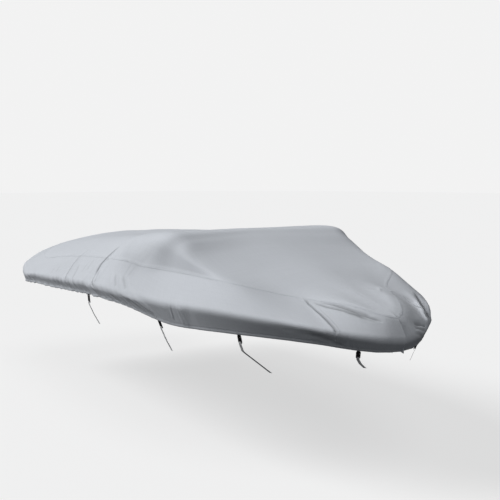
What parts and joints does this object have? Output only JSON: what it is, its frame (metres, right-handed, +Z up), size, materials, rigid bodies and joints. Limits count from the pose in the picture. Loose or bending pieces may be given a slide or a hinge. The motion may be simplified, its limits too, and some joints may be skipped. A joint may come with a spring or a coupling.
{
  "type": "boat cover",
  "caption": "Grey woven fitted cover draped over a runabout, tented over the windscreen, with a tucked skirt round the gunwale and webbing straps hanging from its hem",
  "frame": {"origin": "on the underside of the cloth at the middle of the windscreen top, where the cover hangs", "axes": "+X to the bow along the longest side, +Y to port, +Z up"},
  "size_m": [4.6964, 2.1606, 0.8842],
  "materials": {
    "cloth_top": "plain woven polyester, matt",
    "cloth_side": "plain woven polyester, matt",
    "cloth_bow": "plain woven polyester, matt",
    "cloth_transom": "plain woven polyester, matt",
    "black_webbing": "ribbed webbing, matt",
    "black_plastic": "moulded, satin",
    "grey_webbing": "ribbed webbing, matt"
  },
  "bodies": {
    "root": {"centre_panel": "cloth_top", "side_panel_starboard": "cloth_side", "side_panel_port": "cloth_side", "bow_panel_starboard": "cloth_bow", "bow_panel_port": "cloth_bow", "transom_panel": "cloth_transom", "tab_starboard_1": "black_webbing", "tab_starboard_2": "black_webbing", "tab_starboard_3": "black_webbing", "tab_starboard_4": "black_webbing", "tab_port_1": "black_webbing", "tab_port_2": "black_webbing", "tab_port_3": "black_webbing", "tab_port_4": "black_webbing", "buckle_starboard_1": "black_plastic", "buckle_starboard_2": "black_plastic", "buckle_starboard_3": "black_plastic", "buckle_starboard_4": "black_plastic", "buckle_port_1": "black_plastic", "buckle_port_2": "black_plastic", "buckle_port_3": "black_plastic", "buckle_port_4": "black_plastic", "strap_starboard_1": "grey_webbing", "strap_starboard_2": "grey_webbing", "strap_starboard_3": "grey_webbing", "strap_starboard_4": "grey_webbing", "strap_port_1": "grey_webbing", "strap_port_2": "grey_webbing", "strap_port_3": "grey_webbing", "strap_port_4": "grey_webbing"}
  },
  "joints": []
}
